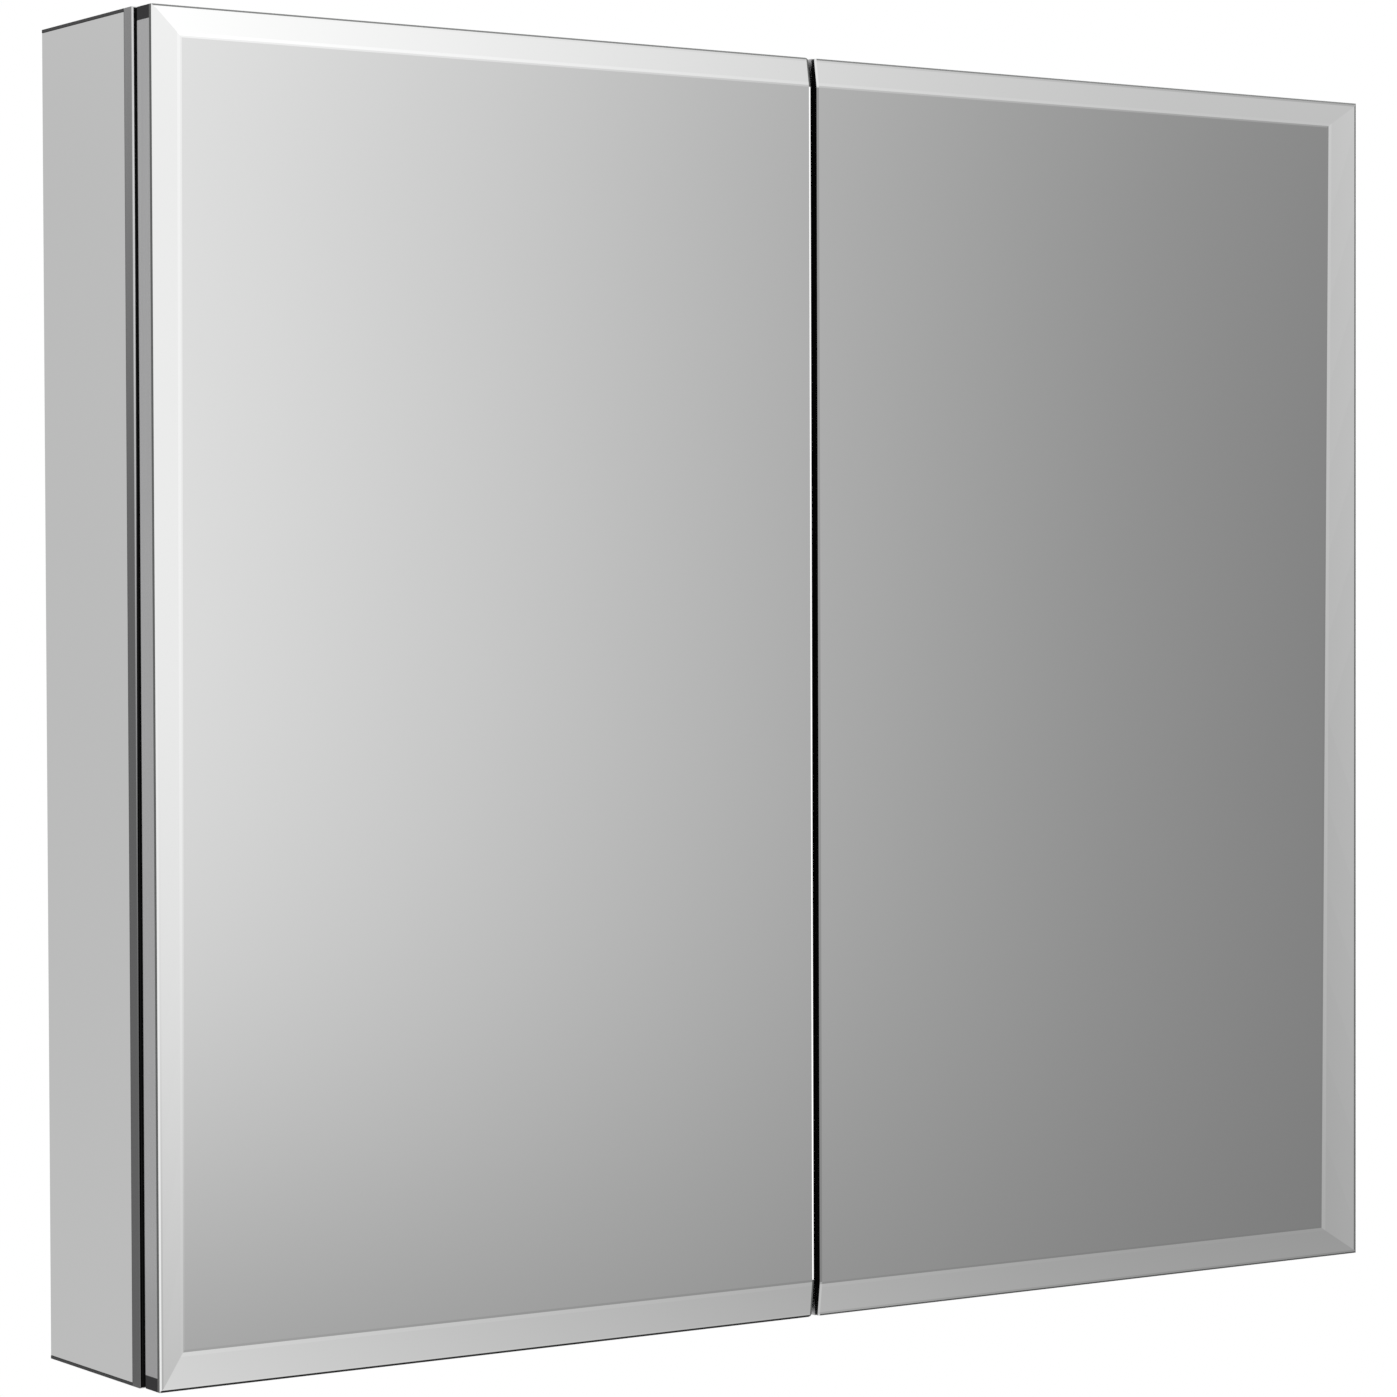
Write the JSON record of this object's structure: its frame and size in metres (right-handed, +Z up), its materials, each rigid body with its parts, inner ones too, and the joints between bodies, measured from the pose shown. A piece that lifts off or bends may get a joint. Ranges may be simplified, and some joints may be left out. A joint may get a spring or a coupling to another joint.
{
  "type": "medicine cabinet with mirror",
  "caption": "Wall-hung aluminium medicine cabinet with bevelled mirror doors on concealed swan-neck hinges, mirrored sides and back, and adjustable glass shelves.",
  "frame": {"origin": "centre of the cabinet's back face, on the wall", "axes": "+X to the viewer's right along the width, +Y into the wall, +Z up; the doors face -Y"},
  "size_m": [0.762, 0.123, 0.66],
  "materials": {
    "mirror_glass": "polished, silvered",
    "brushed_aluminium": "fine brushed, clear anodised",
    "satin_aluminium": "satin anodised",
    "white_sheet": "satin anodised sheet",
    "black_rubber": "matt",
    "dark_plastic": "fine-grained",
    "clear_bumper": "soft, translucent",
    "shelf_glass": "polished edges",
    "bright_nickel": "nickel plated",
    "screw_steel": "zinc plated",
    "magnet": "ground ferrite",
    "backing_board": "pressed fibre"
  },
  "bodies": {
    "case": {"side_panel_left": "brushed_aluminium", "side_panel_right": "brushed_aluminium", "top_panel": "brushed_aluminium", "bottom_panel": "brushed_aluminium", "top_cover": "white_sheet", "bottom_cover": "white_sheet", "back_panel": "white_sheet", "fixing_rail_top": "satin_aluminium", "fixing_rail_bottom": "satin_aluminium", "back_mirror": "mirror_glass", "side_mirror_left": "mirror_glass", "side_mirror_right": "mirror_glass", "face_stile_left": "brushed_aluminium", "face_stile_right": "brushed_aluminium", "face_rail_top": "brushed_aluminium", "face_rail_bottom": "brushed_aluminium", "corner_keys": "dark_plastic", "dust_seal": "black_rubber", "cover_screws": "screw_steel", "back_rivets": "satin_aluminium", "shelf_upper": "shelf_glass", "shelf_lower": "shelf_glass", "shelf_pins": "bright_nickel", "shelf_pads": "clear_bumper", "catch_bodies": "dark_plastic", "catch_magnets": "magnet", "hinge_plates": "bright_nickel", "hinge_plate_screws": "screw_steel", "hinge_arms": "bright_nickel", "hinge_adjusters": "screw_steel"},
    "left_door": {"door_mirror_left": "mirror_glass", "hinge_stile_left": "brushed_aluminium", "stile_caps_left": "dark_plastic", "meeting_stile_left": "brushed_aluminium", "door_rail_top_left": "brushed_aluminium", "door_rail_bottom_left": "brushed_aluminium", "door_core_left": "backing_board", "inner_mirror_left": "mirror_glass", "hinge_cups_left": "bright_nickel", "hinge_pins_left": "screw_steel", "cup_screws_left": "screw_steel", "catch_strikes_left": "screw_steel", "bumpers_left": "clear_bumper"},
    "right_door": {"door_mirror_right": "mirror_glass", "hinge_stile_right": "brushed_aluminium", "stile_caps_right": "dark_plastic", "meeting_stile_right": "brushed_aluminium", "door_rail_top_right": "brushed_aluminium", "door_rail_bottom_right": "brushed_aluminium", "door_core_right": "backing_board", "inner_mirror_right": "mirror_glass", "hinge_cups_right": "bright_nickel", "hinge_pins_right": "screw_steel", "cup_screws_right": "screw_steel", "catch_strikes_right": "screw_steel", "bumpers_right": "clear_bumper"}
  },
  "joints": [
    {"name": "left_door_hinge", "type": "hinge", "parent": "case", "child": "left_door", "pos_m": [-0.374, -0.1125, 0], "axis": [0, 0, -1], "range_deg": [0, 100]},
    {"name": "right_door_hinge", "type": "hinge", "parent": "case", "child": "right_door", "pos_m": [0.374, -0.1125, 0], "axis": [0, 0, 1], "range_deg": [0, 100]}
  ]
}
